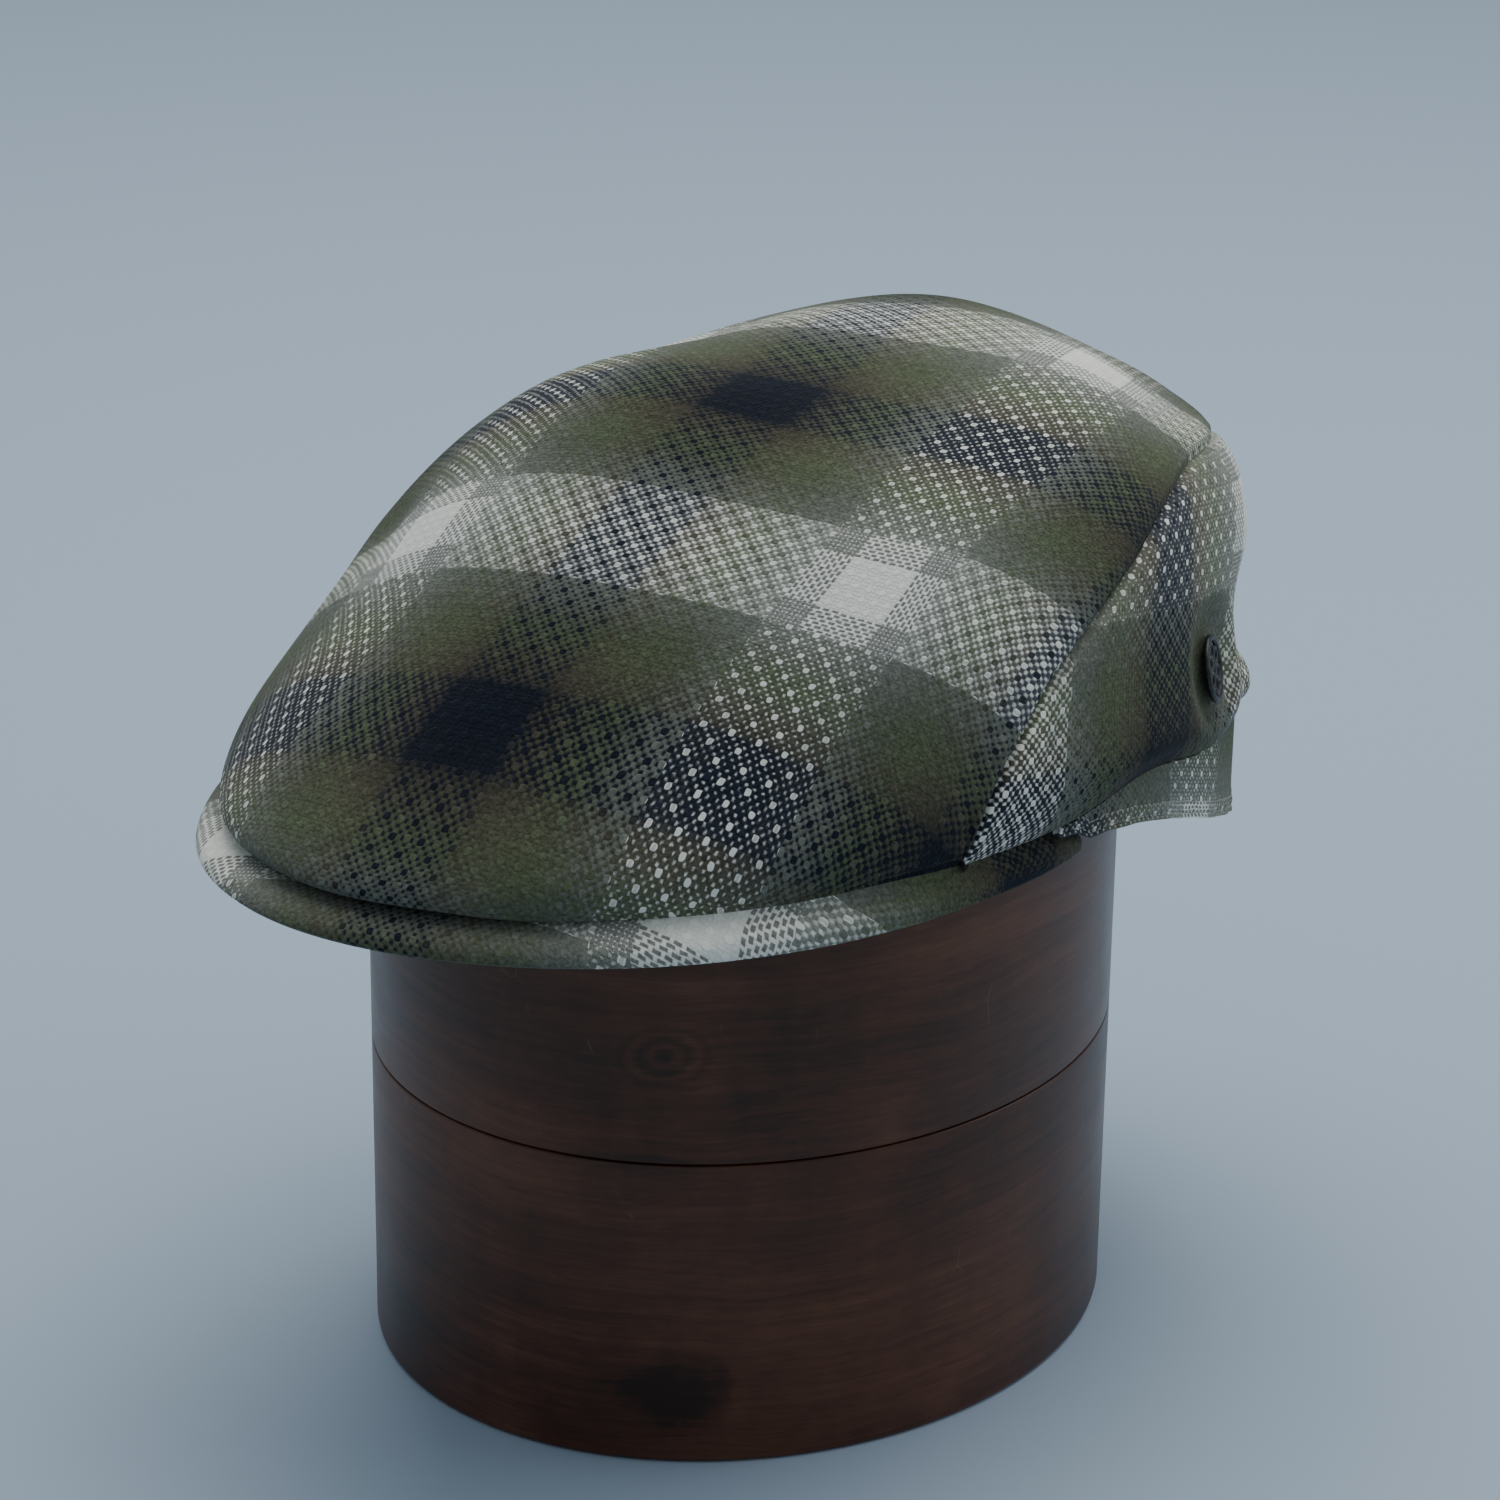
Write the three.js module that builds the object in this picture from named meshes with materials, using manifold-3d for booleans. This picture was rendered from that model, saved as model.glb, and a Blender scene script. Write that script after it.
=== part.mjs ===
// A flat cap of woven wool on a two-part wooden hat block.
// Millimetres, +Z up, the visor towards -Y and the wearer's left towards +X.
// The origin is on the floor, under the middle of the whole outline.
import * as THREE from "three";
import { mergeVertices } from "three/addons/utils/BufferGeometryUtils.js";
import Module from "manifold-3d";

const wasm = await Module();
wasm.setup();

// ---- cloth and clearances ----
const CLOTH = 2; // thickness of a cloth wall
const GAP = 0.35; // clearance between neighbouring pieces
const SEAM_GAP = 0.5; // width of the cut between two panels

// ---- crown ----
// Each row is one outline round the crown, from the turned-under edge up to near the top:
// its reach to the side, front and back, and its heights at the front, side and back.
// Angles run from the front (0) over the left side (90) to the back (180).
const CENTRE_Y = 9;
const CAP_Y = 0.3; // sets the middle of the whole outline over the origin
const CROWN_ROWS = [
  { name: "turned under", side: 84.4, front: -122, back: 129.5, zFront: 146, zSide: 141.2, zBack: 130 },
  { name: "fold", side: 87.3, front: -130.2, back: 136, zFront: 146.5, zSide: 142.2, zBack: 131 },
  { name: "puff", side: 90.4, front: -128.5, back: 135, zFront: 152.4, zSide: 153.1, zBack: 141 },
  { name: "lower wall", side: 86.6, front: -112, back: 133.5, zFront: 166.6, zSide: 168.3, zBack: 168 },
  { name: "upper wall", side: 78.2, front: -87.2, back: 132.5, zFront: 185.4, zSide: 192.3, zBack: 196 },
  { name: "shoulder", side: 62.8, front: -61.2, back: 108, zFront: 209.9, zSide: 209.6, zBack: 213.6 },
  { name: "top", side: 37.4, front: -30.4, back: 72, zFront: 232, zSide: 223.6, zBack: 229.3 },
];
const APEX = { y: 15.2, z: 233.6 };
const BACK_SQUARENESS = 2.25; // exponent of the rear half of an outline; the front half is an ellipse
const FIRST_LEVEL = -1; // level of the first row; the fold is level 0
const APEX_LEVEL = CROWN_ROWS.length + FIRST_LEVEL;
// Dents in the cloth: flat over the inner radius, fading out to the outer one.
const DENTS = [
  { name: "pin dimple", angle: 120.5, level: 1.56, inner: 8.5, outer: 19, depth: 3.6 },
  { name: "front left hollow", angle: 24, level: 4.4, inner: 4, outer: 34, depth: 1.4 },
  { name: "top saddle", angle: -18, level: 5.3, inner: 6, outer: 36, depth: 1.8 },
  { name: "right brow crease", angle: -42, level: 3.2, inner: 1, outer: 14, depth: 1.4 },
];
const CROWN_COLUMNS = 76;
const CROWN_STEPS = 15; // rows of faces from the turned-under edge to the apex
const ROW_BIAS = 1.25; // above 1 sets the rows closer together near the fold

// ---- seam between the top panel and the side panels ----
const SEAM_ROWS = [
  { angle: 78.8, level: 0.3 },
  { angle: 79.9, level: 0.96 },
  { angle: 81.7, level: 1.44 },
  { angle: 85, level: 1.9 },
  { angle: 92, level: 2.41 },
  { angle: 101, level: 2.79 },
  { angle: 115, level: 3.21 },
  { angle: 130, level: 3.37 },
  { angle: 145, level: 3.2 },
  { angle: 162, level: 3 },
  { angle: 180, level: 2.95 },
];
const SEAM_STEPS = 28; // cuts along the seam on each side
const BACK_SEAM_STEPS = 10;
// How far a cut reaches above the cloth, below it, past its lower end and past its upper end.
const SEAM_CUT = { above: 1.5, below: 9, pastLower: 7, pastUpper: 0.2 };

// ---- back band ----
const BAND_OUTLINE = { side: 86.3, front: -129, back: 135.2, zFront: 0, zSide: 0, zBack: 0 };
const BAND_TOP_DROP = 1.6; // from the fold down to the band's upper edge
const HEM_ROWS = [
  { angle: 93, z: 139.2 },
  { angle: 95, z: 136.2 },
  { angle: 97.5, z: 136.2 },
  { angle: 102, z: 134.5 },
  { angle: 109, z: 130.5 },
  { angle: 122, z: 121 },
  { angle: 138, z: 111.3 },
  { angle: 158, z: 106 },
  { angle: 180, z: 104.8 },
];
const BAND_COLUMNS = 44;
const BAND_ROWS = 4;

// ---- visor ----
const VISOR_CENTRE_Y = -13;
const VISOR_ROWS = [
  { name: "sewn edge", side: 85, front: -106, zFront: 144.5, zSide: 139.8, zEnd: 133.5 },
  { name: "under the fold", side: 86, front: -125.5, zFront: 142.5, zSide: 138.4, zEnd: 132.5 },
  { name: "shoulder", side: 86.8, front: -133.5, zFront: 140.4, zSide: 135.8, zEnd: 130.5 },
  { name: "outer edge", side: 86.6, front: -135.4, zFront: 138.4, zSide: 133.2, zEnd: 129 },
];
const VISOR_SQUARENESS = 1.95; // exponent of its plan outline, 2 for an ellipse
const VISOR_END = 109; // angle at which its tips run out
const VISOR_END_CROWDING = 75; // sets its columns closer together towards the tips
const VISOR_TIP = 26; // degrees over which a tip is rounded
const VISOR_HALF_THICKNESS = { sewn: 1.1, edge: 2.1 };
const VISOR_SHARES = [0, 0.005, 0.02, 0.06, 0.14, 0.28, 0.46, 0.66, 0.85, 1]; // of its width, inwards
const VISOR_ROLL = 0.14; // share of its width over which the outer edge is rolled
const VISOR_COLUMNS = 44;

// ---- pin badge ----
const PIN = {
  angle: 120.5,
  level: 1.56,
  radius: 7.8,
  rimWidth: 1.3,
  bossRadius: 2.8,
  edge: 0.4, // size of its rounded corners
  base: 1.1,
  rim: 1.9,
  boss: 2.3,
  lift: 1.15, // from the cloth to its flat back
};
const PIN_SIDES = 28;

// ---- hat block ----
const BLOCK = {
  x: -2.5,
  y: 7.8,
  halfWidth: 80,
  halfLength: 91.2,
  seamZ: 73.4,
  wallTop: 140,
  domeTop: 228.6,
  domeSquareness: 2.05,
  edge: 1,
};
const BLOCK_SIDES = 48;
const DOME_STEPS = 9;
const DOME_TURN = 88; // degrees of the dome's quarter turn, short of 90 to leave a small flat top

const MATERIALS = {
  wool: { color: 0x5c6152, roughness: 0.94, metalness: 0 },
  pin: { color: 0x2a2927, roughness: 0.42, metalness: 0.85 },
  wood: { color: 0x3d2720, roughness: 0.36, metalness: 0 },
};

const NUDGE = { u: 0.2, v: 0.01 }; // steps either way that measure a surface's slope
const radians = THREE.MathUtils.degToRad;

// A point of a row's outline, whose height eases from the side to the front or the back.
function outlinePoint(row, angle) {
  const sine = Math.sin(radians(angle));
  const cosine = Math.cos(radians(angle));
  const power = cosine > 0 ? 1 : 2 / BACK_SQUARENESS;
  const reach = cosine > 0 ? row.front : row.back;
  const height = cosine > 0 ? row.zFront : row.zBack;
  return new THREE.Vector3(
    row.side * Math.sign(sine) * Math.abs(sine) ** power,
    CENTRE_Y + (reach - CENTRE_Y) * Math.abs(cosine) ** power,
    row.zSide + (height - row.zSide) * cosine * cosine,
  );
}

// The smooth crown: a curve up through the rows, over the apex and on to the far side's last row.
const profiles = new Map();
function profileAt(angle) {
  if (!profiles.has(angle)) {
    const points = CROWN_ROWS.map((row) => outlinePoint(row, angle));
    points.push(new THREE.Vector3(0, APEX.y, APEX.z));
    points.push(outlinePoint(CROWN_ROWS.at(-1), angle + 180));
    profiles.set(angle, new THREE.CatmullRomCurve3(points, false, "catmullrom", 0.5));
  }
  return profiles.get(angle);
}

function smoothCrown(angle, level) {
  const spans = CROWN_ROWS.length + 1;
  return profileAt(angle).getPoint((level - FIRST_LEVEL) / spans);
}

// Outward unit normal of a surface given as point(u, v), with u running anticlockwise from above
// and v running up or inwards.
function surfaceNormal(point, u, v) {
  const across = point(u + NUDGE.u, v).sub(point(u - NUDGE.u, v));
  const along = point(u, v + NUDGE.v).sub(point(u, v - NUDGE.v));
  return across.cross(along).normalize();
}

// Outward normal of a crown surface, which is upright at the apex and kept off the first row.
function normalOf(crown, angle, level) {
  if (level > APEX_LEVEL - 2 * NUDGE.v) return new THREE.Vector3(0, 0, 1);
  return surfaceNormal(crown, angle, Math.max(level, FIRST_LEVEL + NUDGE.v));
}

const dentCentres = DENTS.map((dent) => smoothCrown(dent.angle, dent.level));

// The crown's outside face with its dents.
function crownPoint(angle, level) {
  const point = smoothCrown(angle, level);
  let depth = 0;
  DENTS.forEach((dent, index) => {
    const distance = point.distanceTo(dentCentres[index]);
    depth += dent.depth * (1 - THREE.MathUtils.smoothstep(distance, dent.inner, dent.outer));
  });
  return depth > 0 ? point.addScaledVector(normalOf(smoothCrown, angle, level), -depth) : point;
}

// Straight-line value of a table's column at an angle.
function tableAt(rows, angle, column) {
  const next = Math.max(1, rows.findIndex((row) => row.angle >= angle));
  const [a, b] = [rows[next - 1], rows[next]];
  return THREE.MathUtils.mapLinear(angle, a.angle, b.angle, a[column], b[column]);
}

// Closed solid from a grid of outside points and a grid of inside points. Columns run round the
// piece and rows run up or inwards; a ring joins its last column to its first.
function sheetSolid(outside, inside, isRing) {
  const columns = outside.length;
  const rows = outside[0].length;
  const positions = [...outside.flat(), ...inside.flat()].flatMap((point) => point.toArray());
  const outer = (i, j) => (i % columns) * rows + j;
  const inner = (i, j) => columns * rows + outer(i, j);
  const triangles = [];
  const quad = (a, b, c, d) => triangles.push([a, b, c], [a, c, d]);
  const spans = isRing ? columns : columns - 1;
  for (let i = 0; i < spans; i++) {
    for (let j = 0; j < rows - 1; j++) {
      quad(outer(i, j), outer(i + 1, j), outer(i + 1, j + 1), outer(i, j + 1));
      quad(inner(i, j), inner(i, j + 1), inner(i + 1, j + 1), inner(i + 1, j));
    }
    quad(outer(i + 1, 0), outer(i, 0), inner(i, 0), inner(i + 1, 0));
    quad(outer(i, rows - 1), outer(i + 1, rows - 1), inner(i + 1, rows - 1), inner(i, rows - 1));
  }
  if (!isRing) {
    const last = columns - 1;
    for (let j = 0; j < rows - 1; j++) {
      quad(outer(0, j), outer(0, j + 1), inner(0, j + 1), inner(0, j));
      quad(outer(last, j + 1), outer(last, j), inner(last, j), inner(last, j + 1));
    }
  }
  return closedGeometry(positions, triangles);
}

// Merges vertices that coincide, and drops the triangles that this leaves without area.
function closedGeometry(positions, triangles) {
  const loose = new THREE.BufferGeometry();
  loose.setAttribute("position", new THREE.Float32BufferAttribute(positions, 3));
  loose.setIndex(triangles.flat());
  const merged = mergeVertices(loose, 1e-3);
  const index = [...merged.index.array];
  const kept = [];
  for (let k = 0; k < index.length; k += 3) {
    const [a, b, c] = index.slice(k, k + 3);
    if (a !== b && b !== c && c !== a) kept.push(a, b, c);
  }
  merged.setIndex(kept);
  merged.computeVertexNormals();
  return merged;
}

// The whole crown in one piece, before its seams are cut.
function crownShell() {
  const outside = [];
  const inside = [];
  for (let i = 0; i < CROWN_COLUMNS; i++) {
    const angle = (360 * i) / CROWN_COLUMNS;
    const levels = Array.from({ length: CROWN_STEPS + 1 }, (_, j) =>
      THREE.MathUtils.lerp(FIRST_LEVEL, APEX_LEVEL, (j / CROWN_STEPS) ** ROW_BIAS),
    );
    const lining = (level) =>
      crownPoint(angle, level).addScaledVector(normalOf(crownPoint, angle, level), -CLOTH);
    const [lip, corner] = [lining(FIRST_LEVEL), lining(0)];
    const onLip = (level) => lip.clone().lerp(corner, 1 - level / FIRST_LEVEL);
    outside.push(levels.map((level) => crownPoint(angle, level)));
    inside.push(levels.map((level) => (level < 0 ? onLip(level) : lining(level))));
  }
  return sheetSolid(outside, inside, true);
}

// Thin upright strip that follows a line of [angle, level] pairs on the crown, to cut it there,
// and reaches past the line's ends.
function seamCutter(line, pastStart, pastEnd) {
  const points = line.map(([angle, level]) => crownPoint(angle, level));
  const normals = line.map(([angle, level]) => normalOf(crownPoint, angle, level));
  const outside = [];
  const inside = [];
  points.forEach((point, i) => {
    const [before, after] = [points[Math.max(0, i - 1)], points[Math.min(points.length - 1, i + 1)]];
    const along = after.clone().sub(before).normalize();
    const across = along.clone().cross(normals[i]).normalize();
    const place = point.clone();
    if (i === 0) place.addScaledVector(along, -pastStart);
    if (i === points.length - 1) place.addScaledVector(along, pastEnd);
    const edge = (side, reach) =>
      place.clone().addScaledVector(across, (side * SEAM_GAP) / 2).addScaledVector(normals[i], reach);
    outside.push([edge(1, -SEAM_CUT.below), edge(1, SEAM_CUT.above)]);
    inside.push([edge(-1, -SEAM_CUT.below), edge(-1, SEAM_CUT.above)]);
  });
  return sheetSolid(outside, inside, false);
}

function toManifold(geometry) {
  const bare = geometry.clone();
  bare.deleteAttribute("normal");
  return new wasm.Manifold(
    new wasm.Mesh({
      numProp: 3,
      vertProperties: bare.attributes.position.array,
      triVerts: new Uint32Array(bare.index.array),
    }),
  );
}

function toGeometry(solid) {
  const { vertProperties, triVerts } = solid.getMesh();
  const geometry = new THREE.BufferGeometry();
  geometry.setAttribute("position", new THREE.BufferAttribute(vertProperties, 3));
  geometry.setIndex(new THREE.BufferAttribute(triVerts, 1));
  geometry.computeVertexNormals();
  return geometry;
}

// The crown cut along the rear seam and the centre-back seam: its top, left and right panels.
function crownPanels() {
  const seamCurve = new THREE.CatmullRomCurve3(
    SEAM_ROWS.map((row) => new THREE.Vector3(row.angle, row.level, 0)),
  );
  const half = seamCurve.getPoints(SEAM_STEPS).map((point) => [point.x, point.y]);
  const otherHalf = half.slice(0, -1).reverse().map(([angle, level]) => [360 - angle, level]);
  const [lowest, highest] = [SEAM_ROWS[0].level, SEAM_ROWS.at(-1).level];
  const back = Array.from({ length: BACK_SEAM_STEPS + 1 }, (_, i) => [
    180,
    THREE.MathUtils.lerp(lowest, highest, i / BACK_SEAM_STEPS),
  ]);
  const { pastLower, pastUpper } = SEAM_CUT;
  const cut = toManifold(crownShell())
    .subtract(toManifold(seamCutter([...half, ...otherHalf], pastLower, pastLower)))
    .subtract(toManifold(seamCutter(back, pastLower, pastUpper)));
  const panels = cut.decompose();
  const byHeight = (a, b) => b.boundingBox().max[2] - a.boundingBox().max[2];
  const bySide = (a, b) => b.boundingBox().max[0] - a.boundingBox().max[0];
  const [top, ...sides] = panels.sort(byHeight);
  const [left, right] = sides.sort(bySide);
  return { top: toGeometry(top), left: toGeometry(left), right: toGeometry(right) };
}

function backBandGeometry() {
  const fold = CROWN_ROWS[1];
  const first = HEM_ROWS[0].angle;
  const outside = [];
  const inside = [];
  for (let i = 0; i <= BAND_COLUMNS; i++) {
    const angle = THREE.MathUtils.lerp(first, 360 - first, i / BAND_COLUMNS);
    const hem = tableAt(HEM_ROWS, Math.min(angle, 360 - angle), "z");
    const top = outlinePoint(fold, angle).z - BAND_TOP_DROP;
    const point = outlinePoint(BAND_OUTLINE, angle);
    const flat = (a) => outlinePoint(BAND_OUTLINE, a).setZ(0);
    const across = flat(angle + NUDGE.u).sub(flat(angle - NUDGE.u)).normalize();
    const inward = new THREE.Vector3(-across.y, across.x, 0);
    const column = Array.from({ length: BAND_ROWS + 1 }, (_, j) =>
      point.clone().setZ(THREE.MathUtils.lerp(hem, top, j / BAND_ROWS)),
    );
    outside.push(column);
    inside.push(column.map((p) => p.clone().addScaledVector(inward, CLOTH)));
  }
  return sheetSolid(outside, inside, false);
}

function visorRowPoint(row, angle) {
  const sine = Math.sin(radians(angle));
  const cosine = Math.cos(radians(angle));
  const rounded = (value) => Math.sign(value) * Math.abs(value) ** (2 / VISOR_SQUARENESS);
  const height = cosine > 0 ? row.zFront : row.zEnd;
  const weight = cosine > 0 ? cosine * cosine : -cosine;
  return new THREE.Vector3(
    row.side * rounded(sine),
    VISOR_CENTRE_Y + (row.front - VISOR_CENTRE_Y) * rounded(cosine),
    row.zSide + (height - row.zSide) * weight,
  );
}

// The visor: a curved crescent, thickest at its rolled outer edge, whose tips round off to nothing.
function visorGeometry() {
  const tipShare = (angle) => {
    const into = Math.max(0, (Math.abs(angle) - (VISOR_END - VISOR_TIP)) / VISOR_TIP);
    return Math.sqrt(Math.max(0, 1 - into * into));
  };
  const surface = (angle, share) => {
    const points = VISOR_ROWS.map((row) => visorRowPoint(row, angle));
    const curve = new THREE.CatmullRomCurve3(points, false, "catmullrom", 0.5);
    return curve.getPoint(1 - share * tipShare(angle));
  };
  const outside = [];
  const inside = [];
  for (let i = 0; i <= VISOR_COLUMNS; i++) {
    const along = (2 * i) / VISOR_COLUMNS - 1;
    const crowding = radians(VISOR_END_CROWDING);
    const angle = (VISOR_END * Math.sin(along * crowding)) / Math.sin(crowding);
    const above = [];
    const below = [];
    for (const share of VISOR_SHARES) {
      const roll = Math.min(1, share / VISOR_ROLL);
      const rounding = Math.sqrt(1 - (1 - roll) ** 2);
      const { sewn, edge } = VISOR_HALF_THICKNESS;
      const half = THREE.MathUtils.lerp(edge, sewn, share) * rounding * tipShare(angle);
      const middle = surface(angle, share);
      const u = THREE.MathUtils.clamp(angle, 1 - VISOR_END, VISOR_END - 1);
      const v = THREE.MathUtils.clamp(share, 2 * NUDGE.v, 1 - 2 * NUDGE.v);
      const normal = surfaceNormal(surface, u, v);
      above.push(middle.clone().addScaledVector(normal, half));
      below.push(middle.clone().addScaledVector(normal, -half));
    }
    outside.push(above);
    inside.push(below);
  }
  return sheetSolid(outside, inside, false);
}

// A plain round pin: a disc with a raised rim and a low boss.
function pinGeometry() {
  const { radius, rimWidth, bossRadius, edge, base, rim, boss } = PIN;
  const profile = [
    [0, 0],
    [radius - edge, 0],
    [radius, edge],
    [radius, rim - edge],
    [radius - edge, rim],
    [radius - rimWidth, rim],
    [radius - rimWidth - edge, base],
    [bossRadius + edge, base],
    [bossRadius, boss - edge],
    [bossRadius / 2, boss],
    [0, boss],
  ].map(([r, z]) => new THREE.Vector2(r, z));
  const geometry = new THREE.LatheGeometry(profile, PIN_SIDES);
  geometry.rotateX(Math.PI / 2); // the lathe's axis becomes +Z
  return geometry;
}

// One level of the block's oval outline.
function blockRing(inset, z) {
  return Array.from({ length: BLOCK_SIDES }, (_, i) => {
    const angle = (2 * Math.PI * i) / BLOCK_SIDES;
    return new THREE.Vector3(
      (BLOCK.halfWidth - inset) * Math.sin(angle),
      -(BLOCK.halfLength - inset) * Math.cos(angle),
      z,
    );
  });
}

// Solid from stacked rings, closed by a flat face at the bottom and another at the top.
function stackedSolid(rings) {
  const sides = BLOCK_SIDES;
  const positions = rings.flat().flatMap((point) => point.toArray());
  const triangles = [];
  for (let j = 0; j < rings.length - 1; j++) {
    for (let i = 0; i < sides; i++) {
      const [a, b] = [j * sides + i, j * sides + ((i + 1) % sides)];
      triangles.push([a, b, b + sides], [a, b + sides, a + sides]);
    }
  }
  const top = (rings.length - 1) * sides;
  for (let i = 1; i < sides - 1; i++) {
    triangles.push([0, i + 1, i], [top, top + i, top + i + 1]);
  }
  return closedGeometry(positions, triangles);
}

function lowerBlockGeometry() {
  const { edge, seamZ } = BLOCK;
  return stackedSolid([
    blockRing(edge * 1.5, 0),
    blockRing(edge * 0.4, edge * 0.5),
    blockRing(0, edge * 1.5),
    blockRing(0, seamZ - edge),
    blockRing(edge * 0.3, seamZ - edge * 0.3),
    blockRing(edge, seamZ),
  ]);
}

function upperBlockGeometry() {
  const { edge, seamZ, wallTop, domeTop, domeSquareness } = BLOCK;
  const bottom = seamZ + GAP;
  const rings = [
    blockRing(edge, bottom),
    blockRing(edge * 0.3, bottom + edge * 0.3),
    blockRing(0, bottom + edge),
  ];
  for (let j = 0; j <= DOME_STEPS; j++) {
    const turn = (j / DOME_STEPS) * radians(DOME_TURN);
    const width = Math.cos(turn) ** (2 / domeSquareness);
    const z = wallTop + (domeTop - wallTop) * Math.sin(turn) ** (2 / domeSquareness);
    rings.push(blockRing(0, z).map((p) => p.setX(p.x * width).setY(p.y * width)));
  }
  return stackedSolid(rings);
}

function namedMesh(name, geometry, look) {
  const mesh = new THREE.Mesh(geometry, new THREE.MeshStandardMaterial(look));
  mesh.name = name;
  return mesh;
}

function pinMesh() {
  const mesh = namedMesh("pin_badge", pinGeometry(), MATERIALS.pin);
  const normal = normalOf(crownPoint, PIN.angle, PIN.level);
  mesh.position.copy(crownPoint(PIN.angle, PIN.level)).addScaledVector(normal, PIN.lift);
  mesh.quaternion.setFromUnitVectors(new THREE.Vector3(0, 0, 1), normal);
  return mesh;
}

const cap = new THREE.Group();
cap.position.y = CAP_Y;
const panels = crownPanels();
cap.add(
  namedMesh("top_panel", panels.top, MATERIALS.wool),
  namedMesh("side_panel_left", panels.left, MATERIALS.wool),
  namedMesh("side_panel_right", panels.right, MATERIALS.wool),
  namedMesh("back_band", backBandGeometry(), MATERIALS.wool),
  namedMesh("visor", visorGeometry(), MATERIALS.wool),
  pinMesh(),
);

const hatBlock = new THREE.Group();
hatBlock.position.set(BLOCK.x, BLOCK.y, 0);
hatBlock.add(
  namedMesh("block_lower", lowerBlockGeometry(), MATERIALS.wood),
  namedMesh("block_upper", upperBlockGeometry(), MATERIALS.wood),
);

const part = new THREE.Group();
part.add(cap, hatBlock);
export default part;
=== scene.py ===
import math
import bpy
import numpy as np
from mathutils import Matrix, Vector


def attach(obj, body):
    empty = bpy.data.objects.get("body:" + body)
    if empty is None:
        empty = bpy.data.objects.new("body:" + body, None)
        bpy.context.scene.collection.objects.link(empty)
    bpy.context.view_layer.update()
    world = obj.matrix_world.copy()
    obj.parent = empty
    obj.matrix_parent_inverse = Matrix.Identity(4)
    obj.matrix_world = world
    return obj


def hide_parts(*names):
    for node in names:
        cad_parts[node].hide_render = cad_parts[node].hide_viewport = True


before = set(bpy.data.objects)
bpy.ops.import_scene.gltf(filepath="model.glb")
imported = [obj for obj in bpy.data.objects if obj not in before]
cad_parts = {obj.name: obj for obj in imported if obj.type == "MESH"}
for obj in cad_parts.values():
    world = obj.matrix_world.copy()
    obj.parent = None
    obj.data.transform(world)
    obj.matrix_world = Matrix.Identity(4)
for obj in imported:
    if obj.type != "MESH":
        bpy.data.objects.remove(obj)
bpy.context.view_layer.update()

# Lengths are in millimetres and angles in degrees, apart from the studio's metres.
mm = 0.001
tiny = 1e-6
print("frame loaded")


camera = {
    "target": (0.96, 5.06, 137.6),
    "azimuth": 44,
    "elevation": 21.77,
    "roll": 0.73,
    "distance": 1025.6,
    "lens": 108.57,
}


def addCamera(view):
    az, el = math.radians(view["azimuth"]), math.radians(view["elevation"])
    back = Vector((math.sin(az) * math.cos(el), -math.cos(az) * math.cos(el), math.sin(el)))
    data = bpy.data.cameras.new("camera")
    data.lens = view["lens"]
    cam = bpy.data.objects.new("camera", data)
    bpy.context.scene.collection.objects.link(cam)
    cam.location = (Vector(view["target"]) + back * view["distance"]) * mm
    turn = back.to_track_quat("Z", "Y").to_matrix().to_4x4()
    cam.matrix_world = Matrix.Translation(cam.location) @ turn @ Matrix.Rotation(
        math.radians(view["roll"]), 4, "Z")
    bpy.context.scene.camera = cam


addCamera(camera)
print("camera placed")


# Angles run from the front (0) over the wearer's left (90) to the back (180).
# A level counts the rows: the turned-under edge is -1, the fold 0 and the apex 6.
crown = {
    "centreY": 9,
    "shiftY": 0.3,
    "squareness": (2, 2.25),   # of the front half and the back half; 2 is an ellipse
    "easing": (2, 2),      # how the height of each half eases from the sides
    # half width, front and back; then the heights at the front, the sides and the back
    "rows": [
        (84.4, -122, 129.5, 146, 141.2, 130),
        (87.3, -130.2, 136, 146.5, 142.2, 131),
        (90.4, -128.5, 135, 152.4, 153.1, 141),
        (86.6, -112, 133.5, 166.6, 168.3, 168),
        (78.2, -87.2, 132.5, 185.4, 192.3, 196),
        (62.8, -61.2, 108, 209.9, 209.6, 213.6),
        (37.4, -30.4, 72, 232, 223.6, 229.3),
    ],
    "apex": (0, 15.2, 233.6),
    "apexLevel": 6,
    "pole": (5.9, 5.97),   # levels between which the outside turns to face straight up
    # dents, and puffs of negative depth: angle, level, the radius inside which each is
    # full, the radius where it is gone, and its depth
    "dents": {
        "pin dimple": (120.5, 1.56, 8.5, 19, 3.6),
        "hollow behind the pin": (141, 1.6, 1, 24, 4.4),
        "puff below the hollow": (137, 0.96, 3, 12, -2.7),
        "rear left fullness": (143, 2.55, 8, 32, -2.2),
        "tuck under the puff": (133, 0.1, 1, 12, 2.4),
        "front left hollow": (24, 4.4, 4, 34, 1.4),
        "top saddle": (-18, 5.3, 6, 36, 1.8),
        "far saddle": (262, 5.12, 5, 26, 2.0),
        "right brow crease": (-42, 3.2, 1, 14, 1.4),
    },
    # the slight unevenness of soft cloth: its height, and the lengths and bends of its waves
    "uneven": 0.35,
    "waves": {"x": 11, "y": 13, "z": 15, "bend": 1.3, "bendY": 17, "twist": 0.9, "twistX": 19},
    "probe": (0.2, 0.01),  # how far each way a slope is measured, in angle and in level
}


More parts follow.
